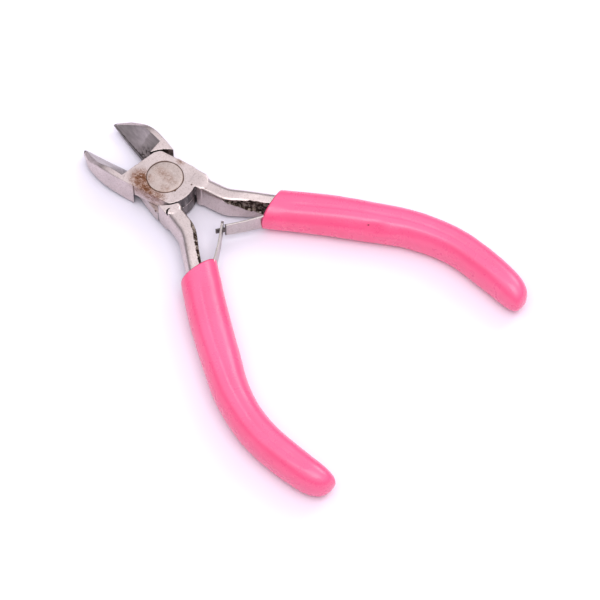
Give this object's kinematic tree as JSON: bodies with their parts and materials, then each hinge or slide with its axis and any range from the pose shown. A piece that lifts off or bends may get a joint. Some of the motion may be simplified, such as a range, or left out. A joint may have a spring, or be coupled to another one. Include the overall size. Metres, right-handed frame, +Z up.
{
  "type": "side cutting pliers",
  "caption": "Mini diagonal side-cutting pliers with a riveted lap joint, interlocked return leaf springs and dipped sleeve grips, resting open.",
  "frame": {"origin": "on the pivot axis, at the underside of the joint", "axes": "+X towards the jaw tips along the middle line between the levers, +Z up through the joint"},
  "size_m": [0.1096, 0.0788, 0.0094],
  "materials": {
    "plated_steel": "satin nickel plate with fine scratches and some rust staining",
    "rivet_steel": "ground flush, satin",
    "spring_steel": "rolled strip, satin",
    "pink_vinyl": "glossy dipped vinyl"
  },
  "bodies": {
    "lower_half": {"lower_lever": "plated_steel", "pivot_rivet": "rivet_steel", "lower_grip": "pink_vinyl", "slotted_leaf_tail": "spring_steel", "lower_leaf_rivet": "rivet_steel"},
    "upper_half": {"upper_lever": "plated_steel", "upper_grip": "pink_vinyl", "tongue_leaf_tail": "spring_steel", "upper_leaf_rivet": "rivet_steel"},
    "tongue_blade": {"tongue_leaf": "spring_steel"},
    "slotted_blade": {"slotted_leaf": "spring_steel"}
  },
  "joints": [
    {"name": "jaw_pivot", "type": "hinge", "parent": "lower_half", "child": "upper_half", "pos_m": [0, 0, 0.004], "axis": [0, 0, 1], "range_deg": [-24.6, 5], "stiffness_Nm_per_rad": 0.2},
    {"name": "tongue_leaf_bend", "type": "hinge", "parent": "upper_half", "child": "tongue_blade", "pos_m": [-0.02483, -0.00909, 0.004], "axis": [0, 0, 1], "range_deg": [-27, 6]},
    {"name": "slotted_leaf_bend", "type": "hinge", "parent": "lower_half", "child": "slotted_blade", "pos_m": [-0.02483, 0.00909, 0.004], "axis": [0, 0, 1], "range_deg": [-6, 27]}
  ],
  "couplings": [
    {"joint": "tongue_leaf_bend", "follows": "jaw_pivot", "ratio": 1.08},
    {"joint": "slotted_leaf_bend", "follows": "jaw_pivot", "ratio": -1.08}
  ]
}
